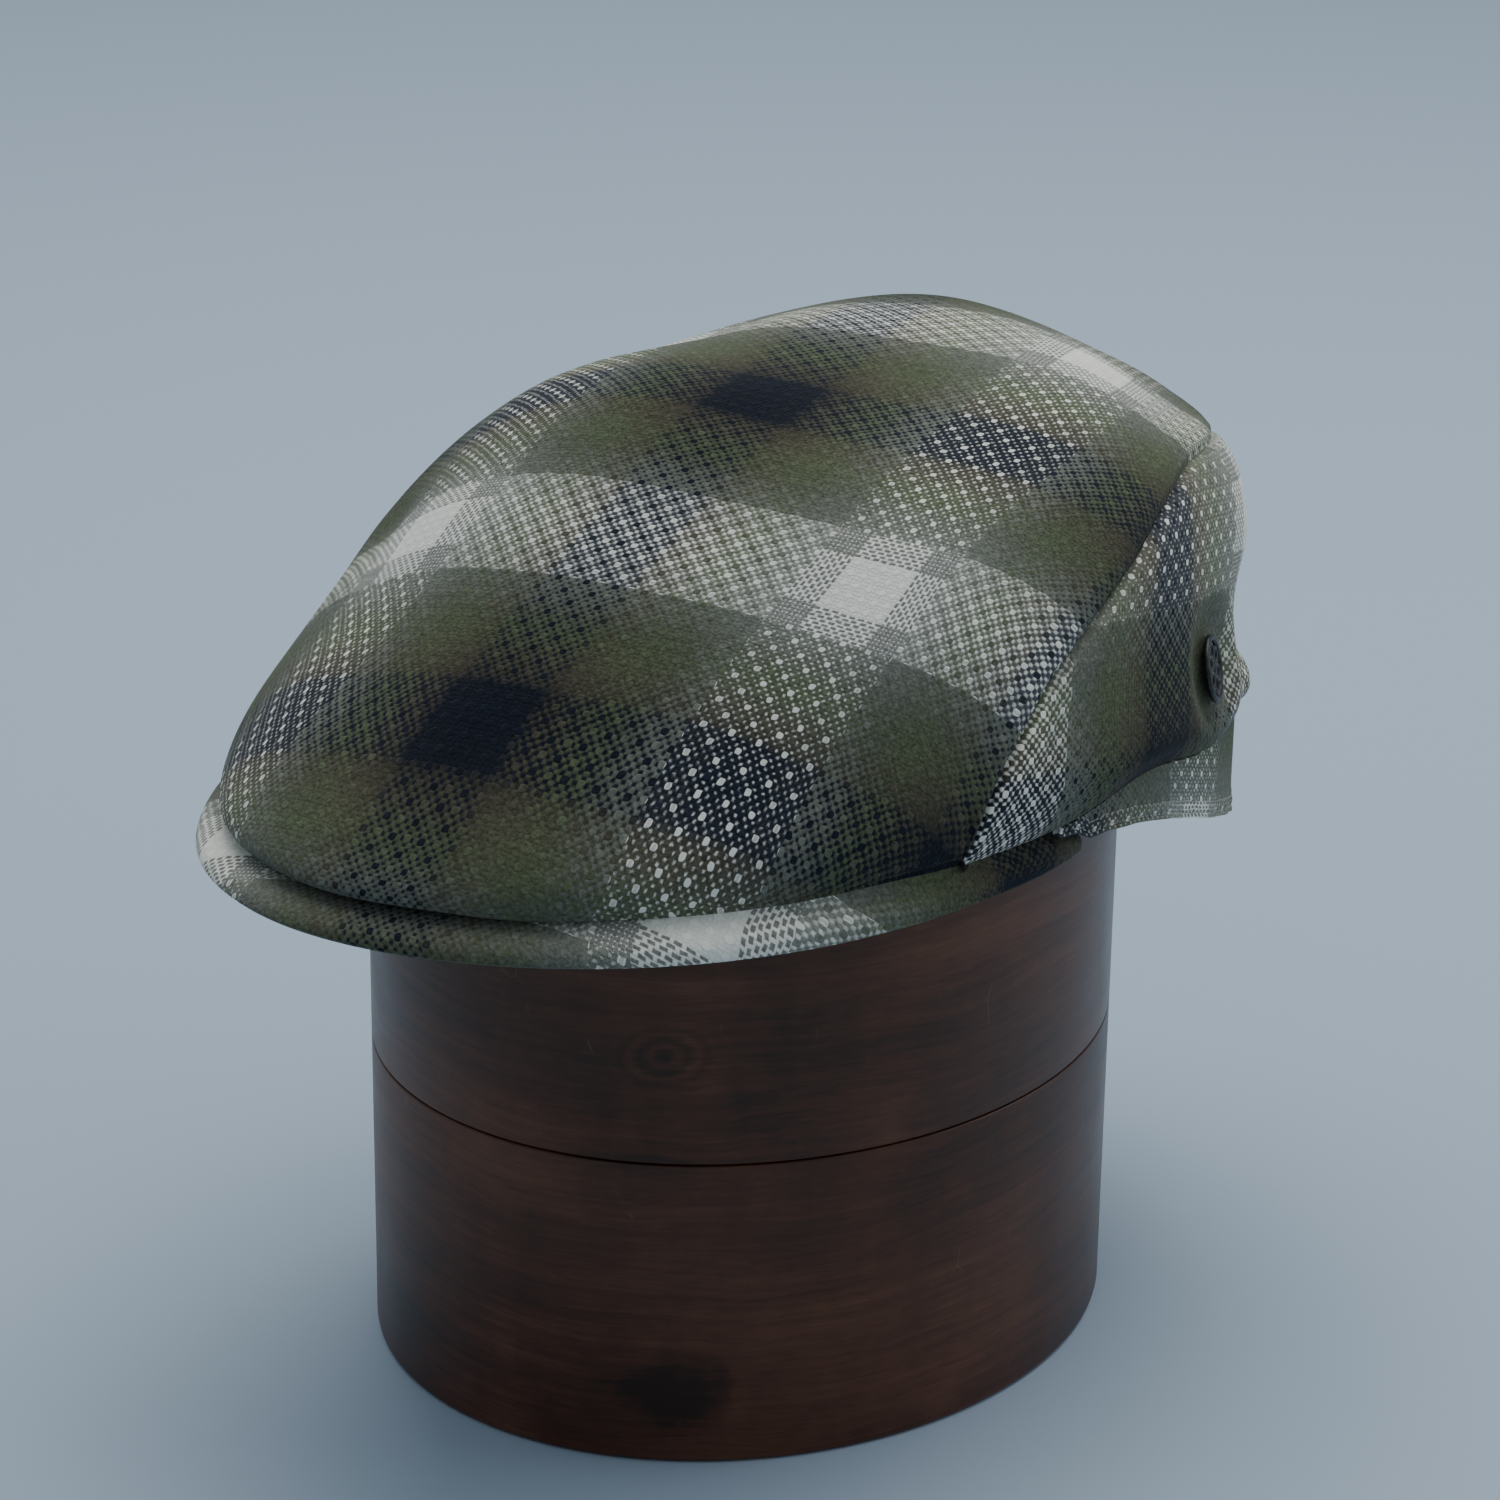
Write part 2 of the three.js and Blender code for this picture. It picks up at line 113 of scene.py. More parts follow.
# The place at an angle on an oval row, whose front and back halves differ.
def outlinePoint(row, angle, shape=crown):
    sine, cosine = np.sin(np.radians(angle)), np.cos(np.radians(angle))
    front = cosine > 0
    side, frontY, backY, zFront, zSide, zBack = row
    power = 2 / np.where(front, *shape["squareness"])
    weight = np.abs(cosine) ** np.where(front, *shape["easing"])
    centre = shape["centreY"]
    reach = np.where(front, frontY, backY) - centre
    return np.stack([
        side * np.sign(sine) * np.abs(sine) ** power,
        centre + reach * np.abs(cosine) ** power + crown["shiftY"],
        zSide + (np.where(front, zFront, zBack) - zSide) * weight,
    ], -1)


# A smooth curve through points, counted from the first point, which is 0.
def curvePoint(points, count):
    points = [2 * points[0] - points[1], *points, 2 * points[-1] - points[-2]]
    stack = np.stack(points)
    count = np.clip(count, 0, len(points) - 3 - tiny)
    whole = np.floor(count).astype(int)
    part = (count - whole)[..., None]
    a, b, c, d = (np.take_along_axis(stack, (whole + k)[None, ..., None].repeat(3, -1), 0)[0]
                  for k in range(4))
    return 0.5 * (2 * b + (c - a) * part + (2 * a - 5 * b + 4 * c - d) * part ** 2
                  + (3 * b - a - 3 * c + d) * part ** 3)


def smoothCrown(angle, level):
    angle, level = np.broadcast_arrays(np.asarray(angle, float), np.asarray(level, float))
    rows = crown["rows"]
    apex = np.array(crown["apex"], float) + (0, crown["shiftY"], 0)
    points = [outlinePoint(row, angle) for row in rows]
    points.append(np.broadcast_to(apex, angle.shape + (3,)))
    points.append(outlinePoint(rows[-1], angle + 180))
    return curvePoint(points, level + 1)


def lengthOf(vectors):
    return np.linalg.norm(vectors, axis=-1)


# How far along a line, or down each column of a grid, its places lie.
def runOf(places):
    steps = lengthOf(np.diff(places, axis=0))
    return np.concatenate([np.zeros_like(steps[:1]), np.cumsum(steps, axis=0)])


def normalsOf(surface, u, v):
    du, dv = crown["probe"]
    across = surface(u + du, v) - surface(u - du, v)
    along = surface(u, v + dv) - surface(u, v - dv)
    normal = np.cross(across, along)
    return normal / np.maximum(lengthOf(normal), tiny)[..., None]


def smoothStep(value, low, high):
    t = np.clip((value - low) / (high - low), 0, 1)
    return t * t * (3 - 2 * t)


def bell(value, middle, width):
    return np.exp(-((value - middle) / width) ** 2)


def crownNormals(angle, level):
    low, high = crown["pole"]
    normal = normalsOf(smoothCrown, angle, np.clip(level, crown["probe"][1] - 1, low))
    pole = smoothStep(np.asarray(level, float), low, high)[..., None]
    return normal * (1 - pole) + np.array((0, 0, 1)) * pole


# The fold rises over the ends of the back band, and stays a little higher behind them.
fold = {
    "rise": 5.3,
    "riseAngle": 104.5,
    "riseWidth": 10,
    "backRise": 2.3,
    "back": (108, 126),    # angles between which the back rise sets in
    "fadeLevel": 1.3,      # from where the crown is no longer lifted
}


def foldLift(angle):
    away = np.minimum(angle, 360 - angle)
    return (fold["rise"] * bell(away, fold["riseAngle"], fold["riseWidth"])
            + fold["backRise"] * smoothStep(away, *fold["back"]))


# The crown's outside with its dents and its unevenness.
def crownPoint(angle, level, uneven=crown["uneven"]):
    point = smoothCrown(angle, level)
    depth = np.zeros(point.shape[:-1])
    for dentAngle, dentLevel, inner, outer, deep in crown["dents"].values():
        away = lengthOf(point - smoothCrown(dentAngle, dentLevel))
        depth += deep * (1 - smoothStep(away, inner, outer))
    x, y, z = np.moveaxis(point, -1, 0)
    waves = crown["waves"]
    wave = np.sin(x / waves["x"] + waves["bend"] * np.sin(y / waves["bendY"]))
    wave *= np.sin(y / waves["y"] + z / waves["z"] + waves["twist"] * np.sin(x / waves["twistX"]))
    point = point - crownNormals(angle, level) * (depth + uneven * wave)[..., None]
    point[..., 2] += foldLift(angle) * (1 - smoothStep(level, 0, fold["fadeLevel"]))
    return point


def selectNothing():
    bpy.ops.object.select_all(action="DESELECT")


def setMode(mode):
    bpy.ops.object.mode_set(mode=mode)


def selectOnly(piece):
    selectNothing()
    bpy.context.view_layer.objects.active = piece
    piece.select_set(True)


# A grid primitive with its vertices set to places[row][column]. Its faces look outwards when
# columns run anticlockwise from above and rows run upwards. Upright yarns hide pale level
# ones by the share covered, and rise above all level ones by upright.
def gridPiece(name, places, stripes, look, closed=False):
    rows, columns = places.shape[:2]
    selectNothing()
    bpy.ops.mesh.primitive_grid_add(x_subdivisions=columns - 1, y_subdivisions=rows - 1, size=2,
                                    calc_uvs=False)
    piece = bpy.context.object
    piece.name = name
    mesh = piece.data
    flat = np.empty(len(mesh.vertices) * 3)
    mesh.vertices.foreach_get("co", flat)
    flat = flat.reshape(-1, 3)
    column = np.rint((flat[:, 0] + 1) / 2 * (columns - 1)).astype(int)
    row = np.rint((flat[:, 1] + 1) / 2 * (rows - 1)).astype(int)
    mesh.vertices.foreach_set("co", (places[row, column] * mm).ravel())
    layer = mesh.uv_layers.new(name="plaid")
    corner = np.empty(len(mesh.loops), int)
    mesh.loops.foreach_get("vertex_index", corner)
    layer.data.foreach_set("uv", stripes[row, column][corner].ravel())
    for label in ("covered", "upright"):
        share = mesh.attributes.new(label, "FLOAT", "POINT")
        share.data.foreach_set("value", np.full(len(mesh.vertices), float(look.get(label, 0))))
    mesh.update()
    if closed:
        setMode("EDIT")
        bpy.ops.mesh.select_all(action="SELECT")
        bpy.ops.mesh.remove_doubles(threshold=0.02 * mm)
        setMode("OBJECT")
    return piece


# Edges that turn by more than these degrees stay sharp.
def smoothShade(piece, degrees=50):
    selectOnly(piece)
    bpy.ops.object.shade_smooth_by_angle(angle=math.radians(degrees))


def settle(piece, node, material):
    piece.data.materials.append(material)
    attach(piece, "root")
    if node:
        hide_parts(node)


# Give a cloth surface its thickness inwards, and its material.
def finishCloth(piece, node, thickness):
    if thickness:
        wall = piece.modifiers.new("cloth", "SOLIDIFY")
        wall.thickness = thickness * mm
        wall.offset = -1
        selectOnly(piece)
        bpy.ops.object.modifier_apply(modifier=wall.name)
    smoothShade(piece)
    settle(piece, node, plaidWool)


plaid = {
    "repeat": 103,
    "straightFrom": 1.1,   # the level below which stripes run straight on
    "straightStep": 0.3,
    # places on the top panel whose count of repeats is known: angle, level, along, across
    "pins": [
        (336, 3.57, 0, -1), (22, 4, 0, -0.5), (65, 3.48, 0, 0), (90, 2.46, 0, 0.45),
        (13, 2.58, -0.5, -0.5), (50.5, 2.06, -0.5, 0), (59, 1.56, -0.5, 0.16),
        (67, 1, -0.5, 0.31), (44, 5.18, 0.5, -0.5), (101, 4.44, 0.5, 0), (111, 3.24, 0.5, 0.37),
        (148, 4.31, 1, 0), (48.5, 0.75, -0.66, 0), (36.5, 0.28, -0.75, -0.2),
        (15, 1, -0.77, -0.5), (20, 0, -0.84, -0.41), (347, 2.22, -0.5, -0.84),
        (346.5, 1.23, -0.7, -0.86), (326, 1.1, -0.5, -1.2), (322, 2.4, -0.2, -1.25),
        (300, 1, 0.05, -1.6), (300, 3, 0.52, -1.46), (282, 1, 0.55, -1.8), (263, 4.8, 1, -1),
        (266, 3.2, 1, -1.4), (235, 4.1, 1.5, -0.95), (215, 3.3, 1.9, -0.7),
        (198, 4.7, 1.5, -0.5), (175, 2.95, 1.8, 0.05),
    ],
    "unit": 100,           # pins pull in proportion to distances counted in this
    "softness": 0.15,      # how round the pull is close to a pin
    "slack": 0.01,         # how far the counts may miss the pins
}


# The cloth's place if it ran straight on at the fold instead of turning under.
def straightened(angle, level):
    start = plaid["straightFrom"]
    place, base = smoothCrown(angle, level), smoothCrown(angle, start)
    ahead = base - smoothCrown(angle, start + plaid["straightStep"])
    run = lengthOf(place - base) / lengthOf(ahead)
    return np.where((level < start)[..., None], base + ahead * run[..., None], place)


# Smooth stripe counts between the pins: each pin pulls in proportion to its distance.
def stripesOnTop(angle, level):
    pins = np.array(plaid["pins"], float)
    centres = straightened(pins[:, 0], pins[:, 1]) / plaid["unit"]
    counts = pins[:, [3, 2]]

    def pullOf(places):
        return np.hypot(lengthOf(places[:, None] - centres[None]), plaid["softness"])

    size = len(pins)
    system = np.zeros((size + 4, size + 4))
    system[:size, :size] = pullOf(centres) - plaid["slack"] * np.eye(size)
    system[:size, size] = system[size, :size] = 1
    system[:size, size + 1:] = centres
    system[size + 1:, :size] = centres.T
    weights = np.linalg.solve(system, np.vstack([counts, np.zeros((4, 2))]))
    places = straightened(angle, level) / plaid["unit"]
    flat = places.reshape(-1, 3)
    result = pullOf(flat) @ weights[:size] + weights[size] + flat @ weights[size + 1:]
    return result.reshape(places.shape[:-1] + (2,))


# Short ways to add and join shader nodes.
class Wiring:
    def __init__(self, name):
        self.material = bpy.data.materials.new(name)
        self.material.use_nodes = True
        self.tree = self.material.node_tree
        self.surface = self.tree.nodes["Principled BSDF"]

    # link sockets, or set them to constants
    def feed(self, sockets, values):
        for key, value in values.items():
            socket = sockets[key]
            if isinstance(value, bpy.types.NodeSocket):
                self.tree.links.new(value, socket)
            elif value is not None:
                socket.default_value = (*value, 1) if socket.type == "RGBA" else value

    def add(self, kind, values={}, **settings):
        node = self.tree.nodes.new("ShaderNode" + kind)
        for key, value in settings.items():
            setattr(node, key, value)
        self.feed(node.inputs, values)
        return node.outputs

    def math(self, operation, a, b=None, c=None, clamp=False):
        return self.add("Math", {0: a, 1: b, 2: c}, operation=operation, use_clamp=clamp)[0]

    def times(self, value, *others):
        for other in others:
            value = self.math("MULTIPLY", value, other)
        return value

    # the sum of values, each times its weight
    def weigh(self, start, *pairs):
        for value, weight in pairs:
            start = self.math("MULTIPLY_ADD", value, weight, start)
        return start

    def centred(self, value):
        return self.math("SUBTRACT", value, 0.5)

    def green(self, colour):
        return self.add("SeparateColor", {0: colour})[1]

    def mix(self, share, a, b):
        return self.add("Mix", {0: share, 6: a, 7: b}, data_type="RGBA")[2]

    def gamma(self, colour, power):
        return self.add("Gamma", {0: colour, 1: power})[0]

    # 0 before the first value and 1 after the second, which may be the smaller one
    def step(self, value, first, second):
        low, high = (0, 1) if first < second else (1, 0)
        bounds = {1: min(first, second), 2: max(first, second), 3: low, 4: high}
        return self.add("MapRange", {0: value, **bounds}, interpolation_type="SMOOTHSTEP")[0]

    def ramp(self, value, stops):
        node = self.tree.nodes.new("ShaderNodeValToRGB")
        elements = node.color_ramp.elements
        while len(elements) < len(stops):
            elements.new(0.5)
        for element, (place, colour) in zip(elements, stops):
            element.position = place
            element.color = (*colour, 1)
        self.feed(node.inputs, {0: value})
        return node.outputs[0]

    def noise(self, vector, scale, detail, roughness=0.5):
        return self.add("TexNoise", {"Vector": vector, "Scale": scale, "Detail": detail,
                                     "Roughness": roughness})["Fac"]

    def cells(self, vector, scale, feature="F1"):
        return self.add("TexVoronoi", {"Vector": vector, "Scale": scale}, feature=feature)

    def stretch(self, vector, scale):
        return self.add("Mapping", {"Vector": vector, "Scale": scale})[0]

    # the finished material, with its colour, its relief and the constants of its finish
    def dress(self, look, colour, height, **more):
        strength, distance = look["bump"]
        normal = self.add("Bump", {"Height": height, "Strength": strength,
                                   "Distance": distance * mm})[0]
        self.feed(self.surface.inputs, {"Base Color": colour, "Normal": normal,
                                        **look["finish"], **more})
        return self.material


wool = {
    # yarn colours from the middle of the white stripe (0) to the middle of the navy one (1)
    "stops": [
        (0.278, (0.80, 0.81, 0.73)),
        (0.288, (0.17, 0.185, 0.155)),
        (0.40, (0.135, 0.146, 0.118)),
        (0.47, (0.108, 0.121, 0.084)),
        (0.54, (0.092, 0.113, 0.064)),
        (0.61, (0.091, 0.106, 0.060)),
        (0.70, (0.079, 0.078, 0.051)),
        (0.80, (0.052, 0.048, 0.035)),
        (0.84, (0.009, 0.012, 0.020)),
        (1.0, (0.005, 0.008, 0.017)),
    ],
    # the dashes at the border of the white: where, their colour, how far each fills its yarn
    # across and along, and how much of them shows, among dark yarns and more among pale ones
    "border": (0.154, 0.280),
    "borderYarn": (0.100, 0.110, 0.096),
    "dashCore": (0.30, 0.66),
    "dashEdge": (-0.80, -0.15),
    "dashShown": {"dark": 0.32, "pale": 0.5, "from": (0.2, 0.4)},
    "yarns": 102,          # in a repeat
    "dots": 17,            # large dots in a repeat
    "dotEdge": (0.62, 0.84),
    "stray": 0.006,        # how far a yarn strays, in repeats
    # scale, detail and roughness of each unevenness
    "noises": {"fuzz": (2100, 2, 0.65), "speck": (1150, 3, 0.7), "tone": (70, 3, 0.55),
               "stray": (420, 1)},
    # what brings the warp on top, besides the plain weave
    "pull": {"dots": 1.5, "fuzz": 1.3, "speck": 1.1, "covered": 1.25},
    # how much less of the warp shows, with even yarns, a pale warp, a pale weft and two dark yarns
    "sunk": {"even": 0.12, "paleWarp": 0.52, "paleWeft": -0.36, "dark": -3},
    "paler": (0.15, 0.45),   # how much paler than the other a pale yarn is
    "softEdge": 0.62,
    "fuzzThrough": 0.07,   # how much of the lower yarn shows through the upper one's fuzz
    "veil": 0.15,
    "eyeGamma": 2,
    "grain": {"speck": 2.6, "offset": -0.38, "least": 0.25, "strength": 0.85, "evenness": -1.1},
    # how far yarns stand up, with the painted light on raised yarns and the painted shade in the
    # gaps between them
    "raised": {"fine": 0.5, "light": 0.16, "paintedGapShade": 0.90},
    "patches": {"tone": 0.3, "least": 0.85},
    "relief": {"fuzz": 0.7, "speck": 0.5},
    "bump": (0.6, 0.3),    # its strength and its height
    "finish": {"Roughness": 0.95, "Specular IOR Level": 0.12, "Sheen Weight": 0.12,
               "Sheen Roughness": 0.4, "Sheen Tint": (0.8, 0.85, 0.8)},
}


def woolMaterial(look):
    w = Wiring("plaidWool")
    m, times = w.math, w.times
    place = w.add("TexCoord")["Object"]
    noises, pulls, sunk, grains = (look[part] for part in ("noises", "pull", "sunk", "grain"))
    fuzz, speck, tone = (w.noise(place, *noises[kind]) for kind in ("fuzz", "speck", "tone"))
    counts = w.add("SeparateXYZ", {0: w.add("UVMap", uv_map="plaid")[0]})

    def strayed(count, vector):
        return w.weigh(m("SUBTRACT", count, look["stray"] / 2),
                       (w.noise(vector, *noises["stray"]), look["stray"]))

    across = strayed(counts[0], place)
    along = strayed(counts[1], w.stretch(place, (1, 1, -1)))

    # the colour of the yarn at a place across the stripes, and the dark dashes beside the white
    def yarn(axis, other, shift):
        row = m("ROUND", times(axis, look["yarns"]))
        wave = m("PINGPONG", times(m("DIVIDE", row, look["yarns"]), 2), 1)
        low, high = look["border"]
        dash = times(m("GREATER_THAN", wave, low), m("LESS_THAN", wave, high))
        core = m("ABSOLUTE", m("COSINE", times(axis, math.pi * look["yarns"])))
        beat = m("MULTIPLY_ADD", m("MULTIPLY_ADD", other, look["yarns"], row), math.pi, shift)
        return w.ramp(wave, look["stops"]), times(dash, w.step(core, *look["dashCore"]),
                                                  w.step(m("COSINE", beat), *look["dashEdge"]))

    warp, warpDash = yarn(across, along, 0)
    weft, weftDash = yarn(along, across, math.pi)
    warpTone, weftTone = w.green(warp), w.green(weft)

    # which yarn lies on top: a plain weave, with longer floats gathered in a chequer of dots
    def chequer(count):
        turns = 2 * math.pi * count
        return times(m("COSINE", times(across, turns)), m("COSINE", times(along, turns)))

    # how far a value counts for the warp, and how far for the weft
    def bothWays(value, low, high):
        return w.step(value, low, high), w.step(value, -low, -high)

    fine = chequer(look["yarns"] / 2)
    warpDot, weftDot = bothWays(chequer(look["dots"]), *look["dotEdge"])
    pull = w.weigh(fine, (m("SUBTRACT", warpDot, weftDot), pulls["dots"]),
                   (w.centred(fuzz), pulls["fuzz"]), (w.centred(speck), pulls["speck"]))
    paler = m("SUBTRACT", warpTone, weftTone)
    paleWarp, paleWeft = bothWays(paler, *look["paler"])
    neither = m("SUBTRACT", m("SUBTRACT", 1, paleWarp), paleWeft)
    below = w.weigh(sunk["even"], (paleWarp, sunk["paleWarp"]), (paleWeft, sunk["paleWeft"]),
                    (times(neither, paler), sunk["dark"]))
    covered, upright = (w.add("Attribute", attribute_name=name)["Fac"]
                        for name in ("covered", "upright"))
    pull = w.weigh(m("SUBTRACT", pull, below), (times(covered, paleWeft), pulls["covered"]))
    onTop = w.step(m("ADD", pull, upright), -look["softEdge"], look["softEdge"])
    onTop = w.weigh(look["fuzzThrough"], (onTop, 1 - 2 * look["fuzzThrough"]))
    # pale weft hairs veil the dark warp, except on its large dots
    veil = times(paleWeft, m("SUBTRACT", 1, covered), m("SUBTRACT", 1, warpDot))
    onTop = times(onTop, w.weigh(1, (veil, -look["veil"])))
    # mixed as the eye sees them, so that a fleck of white does not swamp its dark neighbours
    eye = look["eyeGamma"]
    colour = w.gamma(w.mix(onTop, w.gamma(weft, 1 / eye), w.gamma(warp, 1 / eye)), eye)
    shown = look["dashShown"]
    besidePale = w.step(m("MINIMUM", warpTone, weftTone), *shown["from"])
    dashes = times(m("MAXIMUM", warpDash, weftDash),
                   w.weigh(shown["dark"], (besidePale, shown["pale"])))
    colour = w.mix(dashes, colour, look["borderYarn"])

    # dark wool is speckled, white wool nearly even; painted shade darkens the gaps between yarns
    # and painted light brightens the raised ones
    plainness = m("MULTIPLY_ADD", w.green(colour), grains["evenness"], 1, clamp=True)
    grain = w.weigh(grains["offset"], (speck, grains["speck"]))
    grain = m("SUBTRACT", m("MAXIMUM", grain, grains["least"]), 1)
    speckle = w.weigh(1, (times(grain, plainness), grains["strength"]))
    reliefAndPaintedShade, patches, relief = look["raised"], look["patches"], look["relief"]
    raised = m("MAXIMUM", times(m("ABSOLUTE", fine), reliefAndPaintedShade["fine"]), m("MAXIMUM", warpDot, weftDot))
    # the colour's painted light and shade from the yarns' relief, times the speckle and the
    # patches of tone
    light = times(w.weigh(reliefAndPaintedShade["paintedGapShade"], (raised, reliefAndPaintedShade["light"])), speckle,
                  w.weigh(patches["least"], (tone, patches["tone"])))
    height = w.weigh(raised, (speck, relief["speck"]), (fuzz, relief["fuzz"]))
    shaded = w.add("VectorMath", {0: colour, "Scale": light}, operation="SCALE")[0]
    return w.dress(look, shaded, height)


wood = {
    "stops": [
        (0.42, (0.018, 0.0075, 0.0045)),
        (0.56, (0.067, 0.0226, 0.0118)),
        (0.72, (0.128, 0.052, 0.026)),
    ],
    "sway": {"noise": (14, 2), "reach": 12},   # how the grain wanders up and down
    # stretch along x, y and z, detail, roughness and share in the tone
    "grain": {
        "bands": ((6, 6, 75), 4, 0.55, 0.32),
        "grain": ((22, 22, 620), 5, 0.65, 0.24),
        "pores": ((150, 150, 2600), 2, 0.6, 0.16),
        "blotch": ((22, 22, 22), 5, 0.65, 0.42),
        "wear": ((55, 55, 9), 4, 0.6, 0.12),
    },
    # marks on the wall, with their size along the wall and upwards
    "knot": {"middle": (46, -67, 99), "size": (9, 6), "rings": 13, "wobble": 6,
             "ringStrength": 0.045, "ringFade": (1.5, 0.9), "core": (0.45, 0.1),
             "coreStrength": -0.10},
    "stain": {"middle": (49, -63, 20), "size": (14, 12), "ragged": 1.4, "edge": (1.9, 1.2),
              "strength": -0.16},
    "pinholes": {"scale": 75, "edge": (0.075, 0.045), "rarity": 0.80,
                 "colour": (0.002, 0.0015, 0.001)},
    "scratches": {"stretch": (60, 60, 35), "edge": (0.014, 0.004), "colour": (0.16, 0.10, 0.06),
                  "noise": (55, 3, 0.6), "where": (0.60, 0.68), "strength": 0.35},
    "roughness": (0.22, 0.35),   # the least, and what blotches add
    "relief": {"grain": 0.5, "wear": 0.8, "pores": 0.15, "pinholes": -2.5},
    "bump": (0.35, 0.25),
    "finish": {"Specular IOR Level": 0.36, "Specular Tint": (1, 0.86, 0.76), "Coat Weight": 0.1,
               "Coat Roughness": 0.22},
}


def woodMaterial(look):
    w = Wiring("varnishedWood")
    m, times = w.math, w.times
    place = w.add("TexCoord")["Object"]
    sway = look["sway"]
    up = times(w.centred(w.noise(place, *sway["noise"])), sway["reach"] * mm)
    up = w.add("CombineXYZ", {2: up})[0]
    bent = w.add("VectorMath", {0: place, 1: up}, operation="ADD")[0]
    noises = {}
    value = 0
    for kind, (stretch, detail, roughness, share) in look["grain"].items():
        source = place if kind in ("blotch", "wear") else bent
        noises[kind] = w.noise(w.stretch(source, stretch), 1, detail, roughness)
        part = w.centred(noises[kind]) if kind == "pores" else noises[kind]
        value = w.weigh(value, (part, share))

    # distance from the middle of a mark, in shares of its size
    def near(mark):
        wide, high = (1 / (size * mm) for size in mark["size"])
        middle = [part * mm for part in mark["middle"]]
        shift = w.add("VectorMath", {0: bent, 1: middle}, operation="SUBTRACT")[0]
        shift = w.stretch(shift, (wide, wide, high))
        return w.add("VectorMath", {0: shift}, operation="LENGTH")["Value"]

    knot, stain = look["knot"], look["stain"]
    knotAway = near(knot)
    rings = w.weigh(times(knotAway, knot["rings"]), (noises["grain"], knot["wobble"]))
    rings = times(m("SINE", rings), w.step(knotAway, *knot["ringFade"]))
    stained = w.step(w.weigh(near(stain), (noises["blotch"], stain["ragged"])), *stain["edge"])
    value = w.weigh(value, (rings, knot["ringStrength"]), (stained, stain["strength"]),
                    (w.step(knotAway, *knot["core"]), knot["coreStrength"]))
    colour = w.ramp(value, look["stops"])

    # a few pinholes, and short light scratches
    holes, lines = look["pinholes"], look["scratches"]
    cells = w.cells(place, holes["scale"])
    chance = w.add("SeparateColor", {0: cells["Color"]})[0]
    hole = times(w.step(cells["Distance"], *holes["edge"]),
                 m("GREATER_THAN", chance, holes["rarity"]))
    edges = w.cells(w.stretch(place, lines["stretch"]), 1, "DISTANCE_TO_EDGE")
    marks = times(w.step(edges["Distance"], *lines["edge"]), lines["strength"],
                  w.step(w.noise(place, *lines["noise"]), *lines["where"]))
    colour = w.mix(marks, colour, lines["colour"])
    colour = w.mix(hole, colour, holes["colour"])
    noises["pinholes"] = hole
    height = w.weigh(0, *((noises[kind], share) for kind, share in look["relief"].items()))
    least, blotched = look["roughness"]
    return w.dress(look, colour, height, Roughness=w.weigh(least, (noises["blotch"], blotched)))


metal = {
    "dark": (0.012, 0.012, 0.012),
    "worn": (0.15, 0.155, 0.15),
    "grain": (900, 3, 0.6),
    "wear": {"edge": 6, "offset": -2.95, "grain": 0.8},
    "roughness": (0.3, 0.3),   # the least, and what the grain adds
    "bump": (0.3, 0.15),
    "finish": {"Metallic": 0.9},
}


def metalMaterial(look):
    w = Wiring("darkMetal")
    grain = w.noise(w.add("TexCoord")["Object"], *look["grain"])
    edge = w.add("NewGeometry")["Pointiness"]
    wear = look["wear"]
    least, grainy = look["roughness"]
    worn = w.math("MULTIPLY_ADD", w.centred(grain), wear["grain"],
                  w.weigh(wear["offset"], (edge, wear["edge"])), clamp=True)
    return w.dress(look, w.mix(worn, look["dark"], look["worn"]), grain,
                   Roughness=w.weigh(least, (grain, grainy)))


plaidWool = woolMaterial(wool)
varnishedWood = woodMaterial(wood)
darkMetal = metalMaterial(metal)
print("materials made")


topPanel = {
    "cloth": 1.8,
    "columns": 380,
    "rows": 92,
    "crowding": 1.2,       # how the rows crowd towards the edge
    # angle and level
    "seam": [
        (78.8, 0.3), (79.9, 0.96), (81.7, 1.44), (85, 1.9), (92, 2.41), (101, 2.79),
        (115, 3.21), (130, 3.37), (145, 3.2), (162, 3), (180, 2.95),
    ],
    # how finely the lip, the end of the seam and the seam are followed
    "steps": {"lip": 90, "rise": 12, "seam": 120},
    "seamFrom": (-0.2, 0.4),   # levels between which the edge becomes a seam
    "seamRoll": 1.5,       # how deep an edge is turned in at a seam
    "seamRollWidth": 2.0,
    "seamPuff": {"height": 0.5, "away": 5.5, "width": 3},   # the proud cloth beside it
    "press": {"depth": 0.45, "level": 0.16, "width": 0.07},   # a line just above the front fold
}


def seamLine(steps):
    rows = topPanel["seam"]
    points = [np.broadcast_to((*row, 0.0), (steps, 3)) for row in rows]
    line = curvePoint(points, np.linspace(0, len(rows) - 1, steps))
    return line[:, 0], line[:, 1]


# Evenly spaced points on a line of angles and levels, and their share of its length.
def evenly(angles, levels, count):
    run = runOf(smoothCrown(angles, levels))
    share = np.linspace(0, 1, count)
    return np.interp(share * run[-1], run, angles), np.interp(share * run[-1], run, levels), share


# The height that a cloth edge gains or loses at this distance from its seam.
def seamShape(distance):
    roll = (1 - smoothStep(distance, 0, topPanel["seamRollWidth"])) * topPanel["seamRoll"]
    puff = topPanel["seamPuff"]
    return bell(distance, puff["away"], puff["width"]) * puff["height"] - roll


# Shares from 0 to 1 down a column, crowded towards 0.
def crowded(size):
    return (np.linspace(0, 1, size["rows"]) ** size["crowding"])[:, None]


# The angles and levels of columns that start at one line and end at another.
def between(angle, level, lastAngle, lastLevel, size):
    t = crowded(size)
    return angle + (lastAngle - angle) * smoothStep(t, 0, 1), level + (lastLevel - level) * t


